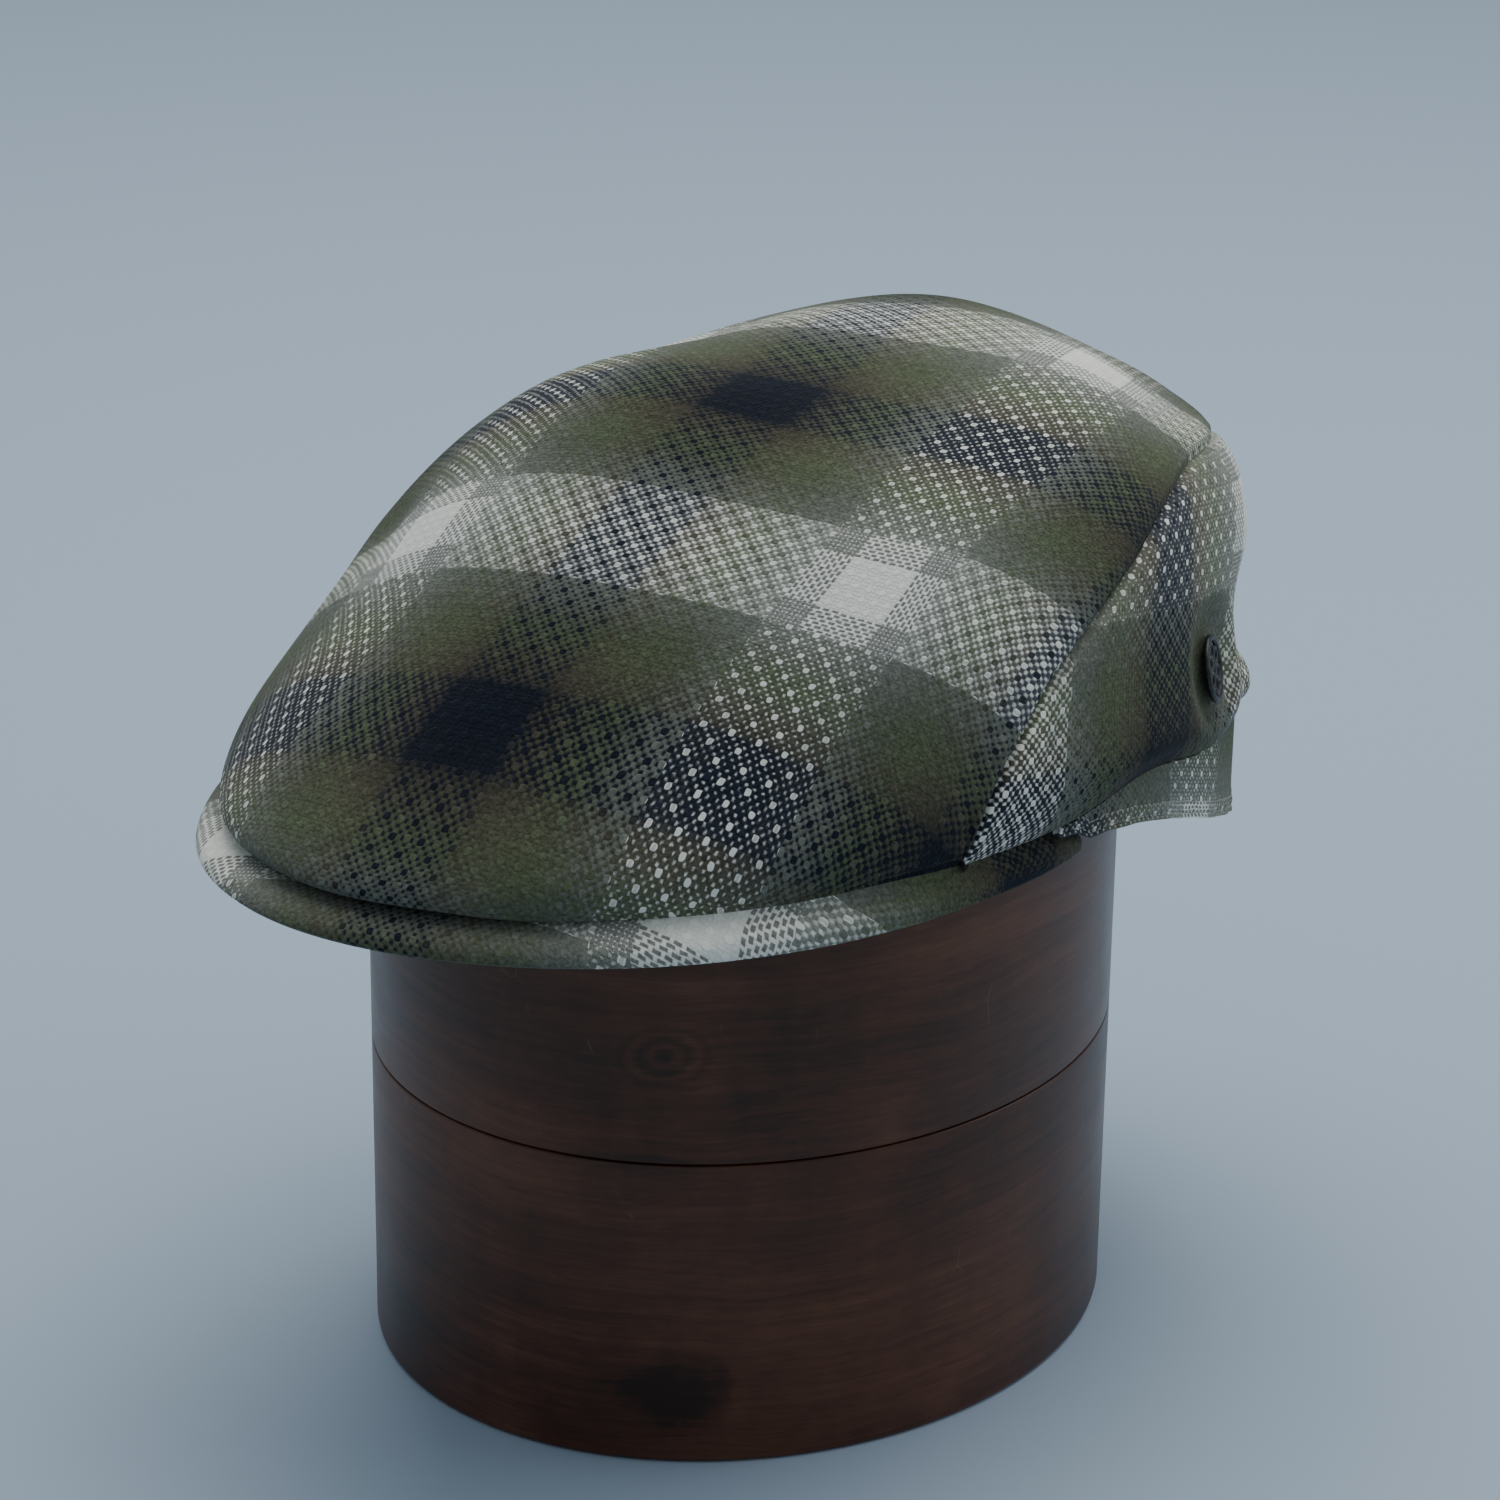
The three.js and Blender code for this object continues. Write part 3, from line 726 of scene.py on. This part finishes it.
def makeTopPanel(size):
    steps, press = size["steps"], size["press"]
    seamAngles, seamLevels = seamLine(steps["seam"])
    startAngle, startLevel = size["seam"][0]
    lip = np.linspace(0, startAngle, steps["lip"])
    rise = np.linspace(-1, startLevel, steps["rise"])[1:-1]
    angles = np.concatenate([lip, np.full(len(rise), startAngle), seamAngles])
    levels = np.concatenate([np.full(len(lip), -1.0), rise, seamLevels])
    edgeAngle, edgeLevel, share = evenly(angles, levels, size["columns"] // 2 + 1)

    # the left half goes on as its mirror image on the right
    def bothSides(left, right):
        return np.concatenate([left, right[-2::-1]])

    edgeAngle = bothSides(edgeAngle, 360 - edgeAngle)
    topAngle = bothSides(share * 180, 360 - share * 180)
    edgeLevel = bothSides(edgeLevel, edgeLevel)
    isSeam = smoothStep(edgeLevel, *size["seamFrom"])
    angle, level = between(edgeAngle, edgeLevel, topAngle, crown["apexLevel"], size)
    places = crownPoint(angle, level)
    lift = seamShape(runOf(places)) * isSeam
    pressed = bell(level, press["level"], press["width"]) * press["depth"] * (1 - isSeam)
    places = places + crownNormals(angle, level) * (lift - pressed)[..., None]
    piece = gridPiece("topPanel", places, stripesOnTop(angle, level), size, closed=True)
    finishCloth(piece, "top_panel", size["cloth"])


makeTopPanel(topPanel)
print("top panel made")


sidePanel = {
    "cloth": 1.8,
    "columns": 190,
    "rows": 66,
    "crowding": 1.15,
    "steps": {"seam": 240, "lip": 200},
    "whiteAngle": 83,      # middle of the upright white stripe at the front
    "whiteLevel": 0.8,
    "whiteHeight": 198.5,  # middle of the level white stripe at this angle
    "whiteHeightAt": 94,
    "whiteDrop": 0.31,     # how far it falls for each degree towards the back
    "lean": (3, 1.3),      # how upright stripes lean back with the level and its cube
    "ring": (60, 300, 1201),   # first angle, last angle and steps of the line they are counted on
    "repeat": 111,
    "covered": 0.12,
    "upright": 0.45,
    "seamFrom": (-0.4, 0.2),
    "back": (60, 100),     # how far back the centre-back seam sets in
    "gap": 0.25,           # from an edge to the middle of that seam
}


def stripesOnSide(angle, level, places, side):
    around = np.linspace(*sidePanel["ring"])
    run = runOf(smoothCrown(around, sidePanel["whiteLevel"]))
    here = np.where(side > 0, angle, 360 - angle)
    distance = np.interp(here, around, run) - np.interp(sidePanel["whiteAngle"], around, run)
    up = level - sidePanel["whiteLevel"]
    distance = distance - sidePanel["lean"][0] * up - sidePanel["lean"][1] * up ** 3
    drop = sidePanel["whiteDrop"] * (here - sidePanel["whiteHeightAt"])
    height = places[..., 2] - sidePanel["whiteHeight"] + drop
    return np.stack([distance / sidePanel["repeat"], height / plaid["repeat"]], -1)


def makeSidePanel(size, side, name, node):
    seamAngles, seamLevels = seamLine(size["steps"]["seam"])
    topAngle, topLevel, _ = evenly(seamAngles, seamLevels, size["columns"])
    ring = np.linspace(seamAngles[0], 180, size["steps"]["lip"])
    lowAngle = evenly(ring, np.zeros_like(ring), size["columns"])[0]
    angle, level = between(topAngle, topLevel, lowAngle, -1, size)
    if side < 0:
        angle = 360 - angle
    places = crownPoint(angle, level)
    stripes = stripesOnSide(angle, level, places, side)
    lift = seamShape(runOf(places)) * smoothStep(level, *size["seamFrom"])
    atBack = smoothStep(places[..., 1], *size["back"])
    lift = np.minimum(lift, seamShape(np.abs(places[..., 0]))) * atBack + lift * (1 - atBack)
    places = places + crownNormals(angle, level) * lift[..., None]
    apart = side * np.maximum(side * places[..., 0], size["gap"])
    places[..., 0] = np.where(places[..., 1] > size["back"][0], apart, places[..., 0])
    # the top row is the seam, so rows run downwards: turn them over to face outwards
    places, stripes = places[::-1], stripes[::-1]
    if side < 0:
        places, stripes = places[:, ::-1], stripes[:, ::-1]
    finishCloth(gridPiece(name, places, stripes, size), node, size["cloth"])


makeSidePanel(sidePanel, 1, "sidePanelLeft", "side_panel_left")
makeSidePanel(sidePanel, -1, "sidePanelRight", "side_panel_right")
print("side panels made")


backBand = {
    "cloth": 1.8,
    "outline": (86.3, -129, 135.2, 0, 0, 0),
    "topDrop": 1.6,
    # angle and height
    "hem": [
        (91, 139.6), (93.5, 138.6), (95, 136.2), (97.5, 136.2), (102, 134.5), (109, 130.5),
        (122, 121), (138, 111.3), (158, 106), (180, 104.8),
    ],
    "columns": 320,
    "rows": 26,
    "crowding": 1.6,
    "probe": 0.3,          # how far each way its direction is measured
    "whiteAngle": 116,     # middle of the upright white stripe
    "hemStripe": 10.5,     # how far the hem is from a level white stripe
    "covered": 0.4,
    "upright": -0.1,
    "hemRidge": {"height": 0.35, "edge": (4.4, 5.4)},
    # where the two rows of stitches above the hem pull it in
    "groove": {"heights": (1.3, 3.9), "depth": 0.35, "width": 0.55},
    "ripple": {"height": 0.25, "waves": 37, "fade": 9},
}


def bandPlace(angle, height):
    hemAngles, hemHeights = zip(*backBand["hem"])
    hem = np.interp(np.minimum(angle, 360 - angle), hemAngles, hemHeights)
    top = outlinePoint(crown["rows"][1], angle)[..., 2] - backBand["topDrop"] + foldLift(angle)
    place = outlinePoint(backBand["outline"], angle)
    place[..., 2] = hem + (top - hem) * height
    return place, top - hem


def bandOutwards(angle):
    probe = backBand["probe"]
    step = bandPlace(angle + probe, 0)[0] - bandPlace(angle - probe, 0)[0]
    step[..., 2] = 0
    step /= lengthOf(step)[..., None]
    return np.stack([step[..., 1], -step[..., 0], np.zeros(step.shape[:-1])], -1)


def makeBackBand(size):
    ridge, groove, ripple = size["hemRidge"], size["groove"], size["ripple"]
    first = size["hem"][0][0]
    angle = np.linspace(first, 360 - first, size["columns"])[None, :]
    angle, share = np.broadcast_arrays(angle, crowded(size))
    places, tall = bandPlace(angle, share)
    height = tall * share
    lift = ridge["height"] * (1 - smoothStep(height, *ridge["edge"]))
    lift -= groove["depth"] * sum(bell(height, line, groove["width"])
                                  for line in groove["heights"])
    lift += (ripple["height"] * np.sin(np.radians(angle) * ripple["waves"])
             * (1 - smoothStep(height, 0, ripple["fade"])))
    places = places + bandOutwards(angle) * lift[..., None]
    run = runOf(places[0, :, :2])
    white = np.interp(size["whiteAngle"], angle[0], run)
    around = np.broadcast_to(run - white, height.shape)
    stripes = np.stack([around, height + size["hemStripe"]], -1) / plaid["repeat"]
    finishCloth(gridPiece("backBand", places, stripes, size), "back_band", size["cloth"])


makeBackBand(backBand)
print("back band made")


visor = {
    "centreY": -13,
    # as the crown's rows, from the sewn edge to the outer one
    "rows": [
        (85, -106, 80, 144.5, 140.2, 136.5),
        (86, -125.5, 99.5, 143.2, 139.8, 136),
        (87, -133.5, 107.5, 141, 137, 132.5),
        (86.6, -135.4, 109.4, 138.4, 133.2, 129),
    ],
    "squareness": (1.95, 1.95),
    "easing": (2, 1),
    "end": 109,
    "tip": 12,
    # how the sewn edge, and less the next row, goes up behind the fold on the left
    "tuck": {"in": 2.6, "up": 5.0, "shares": (1, 0.45), "where": (0.2, 0.75)},
    "halfThickness": {"sewn": 1.1, "edge": 2.1},
    "roll": {"edge": 0.14, "sewn": 0.04},   # the shares of the width that are rounded
    "columns": 300,
    "shares": 40,
    "crowding": {"columns": 75, "shares": 1.6},
    "probeEnd": {"angle": 1, "share": 0.02},   # how near its ends its slope is measured
    # the directions in which the stripes are counted on the flattened visor
    "across": {"start": -0.478, "turn": 12.5, "repeat": 101.5},
    "along": {"start": 0.74, "turn": 113.5, "repeat": 131.9},
}


def visorTip(angle):
    into = np.maximum(0, (np.abs(angle) - (visor["end"] - visor["tip"])) / visor["tip"])
    return np.sqrt(np.maximum(0, 1 - into ** 2))


# The middle of the visor's thickness, at a share from the outer edge (0) to the sewn one (1).
def visorMiddle(angle, share):
    angle, share = np.broadcast_arrays(np.asarray(angle, float), np.asarray(share, float))
    points = [outlinePoint(row, angle, visor) for row in visor["rows"]]
    tuck = visor["tuck"]
    tucked = smoothStep(np.sin(np.radians(angle)), *tuck["where"])
    for point, part in zip(points, tuck["shares"]):
        point[..., 0] -= tuck["in"] * tucked * part
        point[..., 2] += tuck["up"] * tucked * part ** 3
    return curvePoint(points, (1 - share * visorTip(angle)) * (len(points) - 1))


def makeVisor(size):
    spread = math.radians(size["crowding"]["columns"])
    along = np.linspace(-1, 1, size["columns"])
    angle = size["end"] * np.sin(along * spread) / math.sin(spread)
    # once round the section: from the sewn edge over the top to the outer edge and back below
    share = (1 - np.cos(np.linspace(0, math.pi, size["shares"]))) / 2
    share = share ** size["crowding"]["shares"]
    share = np.concatenate([share[::-1], share[1:]])
    above = np.concatenate([np.ones(size["shares"]), -np.ones(size["shares"] - 1)])[:, None]
    angle, share = np.broadcast_arrays(angle[None, :], share[:, None])
    roll, thick = size["roll"], size["halfThickness"]
    outer = np.minimum(1, share / roll["edge"])
    sewn = np.clip((1 - share) / roll["sewn"], 0, 1)
    rounding = np.sqrt(1 - (1 - outer) ** 2) * np.sqrt(sewn)
    half = (thick["edge"] + (thick["sewn"] - thick["edge"]) * share) * rounding * visorTip(angle)
    limit, least = size["end"] - size["probeEnd"]["angle"], size["probeEnd"]["share"]
    normals = normalsOf(visorMiddle, np.clip(angle, -limit, limit),
                        np.clip(share, least, 1 - least))
    places = visorMiddle(angle, share) + normals * (half * above)[..., None]
    # stripes lie straight on the flattened visor, measured out from the sewn edge
    sewnEdge, outerEdge = (visorMiddle(angle, part)[..., :2] for part in (1, 0))
    out = outerEdge - sewnEdge
    out /= np.maximum(lengthOf(out), tiny)[..., None]
    flat = sewnEdge + out * runOf(places)[..., None]

    def counted(start, turn, repeat):
        turn = math.radians(turn)
        return start + (flat[..., 0] * math.cos(turn) + flat[..., 1] * math.sin(turn)) / repeat

    stripes = np.stack([counted(**size["across"]), counted(**size["along"])], -1)
    piece = gridPiece("clothVisor", places[:, ::-1], stripes[:, ::-1], size, closed=True)
    finishCloth(piece, "visor", None)


makeVisor(visor)
print("visor made")


def joinAll(pieces, name):
    selectNothing()
    for piece in pieces:
        piece.select_set(True)
    bpy.context.view_layer.objects.active = pieces[0]
    bpy.ops.object.join()
    pieces[0].name = name
    return pieces[0]


# Copies of a small mesh, each set at a place along its own axes.
def scatter(piece, places):
    copies = []
    for matrix in places:
        copy = bpy.data.objects.new(piece.name, piece.data.copy())
        bpy.context.scene.collection.objects.link(copy)
        copy.data.transform(matrix)
        copies.append(copy)
    bpy.data.objects.remove(piece)
    return copies


def axesMatrix(along, out, place):
    along, out = Vector(along).normalized(), Vector(out).normalized()
    side = out.cross(along).normalized()
    out = along.cross(side)
    matrix = Matrix((along, side, out)).transposed().to_4x4()
    matrix.translation = Vector(place) * mm
    return matrix


stitches = {
    "pitch": 1.9,
    "length": 1.25,
    "radius": 0.2,
    "lift": 0.12,
    "margin": 1.5,         # from the ends of the band, in degrees
    "probe": 0.4,
    "steps": 900,
    "smooth": 80,
    "colours": [(0.3, (0.22, 0.24, 0.20)), (0.7, (0.42, 0.44, 0.38))],
    "twist": (3000, 2),
    "bump": (0.5, 0.1),
    "finish": {"Roughness": 0.8, "Sheen Weight": 0.1},
}


def threadMaterial(look):
    w = Wiring("paleThread")
    twist = w.noise(w.add("TexCoord")["Object"], *look["twist"])
    return w.dress(look, w.ramp(twist, look["colours"]), twist)


def makeStitches(size):
    first = backBand["hem"][0][0] + size["margin"]
    ring = np.linspace(first, 360 - first, size["steps"])
    places, tall = bandPlace(ring, np.zeros_like(ring))
    run = runOf(places)
    selectNothing()
    bpy.ops.mesh.primitive_uv_sphere_add(segments=8, ring_count=6, radius=1)
    stitch = bpy.context.object
    stitch.name = "stitch"
    thick = size["radius"] * mm
    bpy.ops.transform.resize(value=(size["length"] / 2 * mm, thick, thick))
    bpy.ops.object.transform_apply(location=False, rotation=False, scale=True)
    smoothShade(stitch, size["smooth"])
    matrices = []
    probe = np.array((-1, 0, 1)) * size["probe"]
    for line, height in enumerate(backBand["groove"]["heights"]):
        for k in range(int(run[-1] / size["pitch"])):
            # the second row is half a stitch on
            distance = (k + 0.5 + 0.5 * line) * size["pitch"]
            angle = np.interp(distance + probe, run, ring)
            before, middle, after = bandPlace(angle, height / np.interp(angle, ring, tall))[0]
            out = bandOutwards(angle)[1]
            matrices.append(axesMatrix(after - before, out, middle + out * size["lift"]))
    piece = joinAll(scatter(stitch, matrices), "hemStitches")
    settle(piece, None, threadMaterial(size))


makeStitches(stitches)
print("stitches made")


pin = {
    "angle": 120.5,
    "level": 1.56,
    "radius": 7.8,
    "rim": {"wire": 0.75, "height": 0.5},
    "innerRing": {"inset": 2.4, "wire": 0.32, "height": 0.35},
    "petals": {"count": 6, "first": 30, "radius": 1.75, "wire": 0.5, "away": 3.9, "height": 0.45,
               "stretch": 1.15},
    "hub": {"radius": 1.5, "height": 0.5, "flatness": 0.55},
    "back": {"inset": 0.6, "thickness": 0.5, "edge": 0.12},
    "lift": 1.0,
    "turn": 8,             # how far it faces towards the back, with the cloth behind it
    "smooth": 40,
}


def makePin(size):
    pieces = []

    # stretch, shift and turn the newest primitive, and keep it
    def keep(height, away=0, turn=0, stretch=(1, 1, 1)):
        part = bpy.context.object
        part.data.transform(Matrix.Rotation(math.radians(turn), 4, "Z")
                            @ Matrix.Translation((away * mm, 0, height * mm))
                            @ Matrix.Diagonal((*stretch, 1)))
        pieces.append(part)
        selectNothing()

    def addRing(radius, wire):
        bpy.ops.mesh.primitive_torus_add(major_radius=radius * mm, minor_radius=wire * mm,
                                         major_segments=48, minor_segments=12)

    radius, rim, inner, petals = (size[part] for part in ("radius", "rim", "innerRing", "petals"))
    hub, back = size["hub"], size["back"]
    selectNothing()
    addRing(radius - rim["wire"], rim["wire"])
    keep(rim["height"])
    addRing(radius - inner["inset"], inner["wire"])
    keep(inner["height"])
    for k in range(petals["count"]):
        addRing(petals["radius"], petals["wire"])
        keep(petals["height"], petals["away"], petals["first"] + 360 * k / petals["count"],
             (petals["stretch"], 1, 1))
    bpy.ops.mesh.primitive_uv_sphere_add(segments=24, ring_count=12, radius=hub["radius"] * mm)
    keep(hub["height"], stretch=(1, 1, hub["flatness"]))
    bpy.ops.mesh.primitive_cylinder_add(vertices=64, radius=(radius - back["inset"]) * mm,
                                        depth=back["thickness"] * mm)
    setMode("EDIT")
    bpy.ops.mesh.bevel(offset=back["edge"] * mm, segments=2)
    setMode("OBJECT")
    keep(0)
    piece = joinAll(pieces, "pinBadge")
    angles, levels = size["angle"] + np.array((0, 1)), np.full(2, size["level"])
    middle, beside = crownPoint(angles, levels, 0)
    out = crownNormals(angles, levels)[0]
    turn = Matrix.Rotation(math.radians(size["turn"]), 3, "Z")
    piece.data.transform(axesMatrix(turn @ Vector(beside - middle), turn @ Vector(out),
                                    middle + out * size["lift"]))
    smoothShade(piece, size["smooth"])
    settle(piece, "pin_badge", darkMetal)


makePin(pin)
print("pin made")


block = {
    "x": -2.5,
    "y": 7.8,
    "halfWidth": 80,
    "halfLength": 91.2,
    "sides": 256,
    "seam": 73.4,
    "seamGap": 0.35,
    "seamEdge": 0.45,
    "footEdge": 1.6,
    "edgeSegments": 4,
    "wallTop": 140,
    "dome": {"top": 228.2, "steps": 14, "turn": 88, "squareness": 2.05},
    "smooth": 35,
    "within": 0.01,        # how close to a height counts as on it
}


# Select a piece's edges or faces that lie at a height, and stay in edit mode.
def selectAt(piece, kind, height):
    selectOnly(piece)
    setMode("EDIT")
    bpy.ops.mesh.select_mode(type=kind)
    bpy.ops.mesh.select_all(action="DESELECT")
    setMode("OBJECT")
    places = [vertex.co.z for vertex in piece.data.vertices]
    for part in piece.data.edges if kind == "EDGE" else piece.data.polygons:
        part.select = all(abs(places[index] - height * mm) < block["within"] * mm
                          for index in part.vertices)
    setMode("EDIT")


# A closed upright oval from a cylinder, and the heights of the rims that are rounded.
def makeOval(name, size, low, high, rims):
    selectNothing()
    bpy.ops.mesh.primitive_cylinder_add(vertices=size["sides"], radius=1, depth=(high - low) * mm)
    piece = bpy.context.object
    piece.name = name
    piece.data.transform(
        Matrix.Translation((size["x"] * mm, size["y"] * mm, (low + high) / 2 * mm))
        @ Matrix.Diagonal((size["halfWidth"] * mm, size["halfLength"] * mm, 1, 1)))
    for height, width in rims:
        selectAt(piece, "EDGE", height)
        bpy.ops.mesh.bevel(offset=width * mm, segments=size["edgeSegments"], affect="EDGES")
        setMode("OBJECT")
    return piece


def makeBlock(size):
    lower = makeOval("blockLower", size, 0, size["seam"],
                     [(0, size["footEdge"]), (size["seam"], size["seamEdge"])])
    smoothShade(lower, size["smooth"])
    settle(lower, "block_lower", varnishedWood)
    start = size["seam"] + size["seamGap"]
    upper = makeOval("blockUpper", size, start, size["wallTop"], [(start, size["seamEdge"])])
    # the dome is drawn up from the top face in ever smaller ovals
    dome = size["dome"]
    selectAt(upper, "FACE", size["wallTop"])
    middle = (size["x"] * mm, size["y"] * mm, 0)
    wide, high, power = 1, 0, 2 / dome["squareness"]
    for k in range(1, dome["steps"] + 1):
        turn = math.radians(dome["turn"] * k / dome["steps"])
        wider, higher = math.cos(turn) ** power, math.sin(turn) ** power
        rise = (higher - high) * (dome["top"] - size["wallTop"]) * mm
        bpy.ops.mesh.extrude_region_move(TRANSFORM_OT_translate={"value": (0, 0, rise)})
        grow = wider / wide
        bpy.ops.transform.resize(value=(grow, grow, 1), center_override=middle)
        wide, high = wider, higher
    setMode("OBJECT")
    smoothShade(upper, size["smooth"])
    settle(upper, "block_upper", varnishedWood)


makeBlock(block)
print("hat block made")


# in metres and watts
studio = {
    "floorSize": 8,
    "floor": {"Base Color": (0.387, 0.484, 0.584), "Roughness": 0.9, "Specular IOR Level": 0.1},
    "world": (0.62, 0.70, 0.80),
    "worldStrength": 0.52,
    "lights": {
        "overhead": dict(place=(-0.25, 0.4, 1.7), target=(0, 0, 0.15), size=(1.6, 1.6),
                         power=26, colour=(1, 0.98, 0.95)),
        "leftFill": dict(place=(-1.3, -0.6, 1.3), target=(0, 0, 0.15), size=(1.0, 1.2),
                         power=1.2, colour=(0.95, 0.98, 1)),
        "rightFill": dict(place=(1.05, 1.2, 0.8), target=(0, 0, 0.13), size=(1.0, 1.0),
                          power=4.8, colour=(0.97, 0.99, 1)),
    },
}


def addFloor(look):
    selectNothing()
    bpy.ops.mesh.primitive_plane_add(size=look["floorSize"], location=(0, 0, 0))
    floor = bpy.context.object
    floor.name = "floor"
    w = Wiring("paleFloor")
    w.feed(w.surface.inputs, look["floor"])
    floor.data.materials.append(w.material)


def addWorld(look):
    world = bpy.data.worlds.new("softWorld")
    bpy.context.scene.world = world
    world.use_nodes = True
    background = world.node_tree.nodes["Background"]
    background.inputs[0].default_value = (*look["world"], 1)
    background.inputs[1].default_value = look["worldStrength"]


def addSoftLight(name, place, target, size, power, colour):
    data = bpy.data.lights.new(name, "AREA")
    data.shape = "RECTANGLE"
    data.size, data.size_y = size
    data.energy = power
    data.color = colour
    lamp = bpy.data.objects.new(name, data)
    bpy.context.scene.collection.objects.link(lamp)
    lamp.location = place
    lamp.rotation_euler = (Vector(target) - Vector(place)).to_track_quat("-Z", "Y").to_euler()


addFloor(studio)
addWorld(studio)
for name, light in studio["lights"].items():
    addSoftLight(name, **light)
print("stage and lights added")
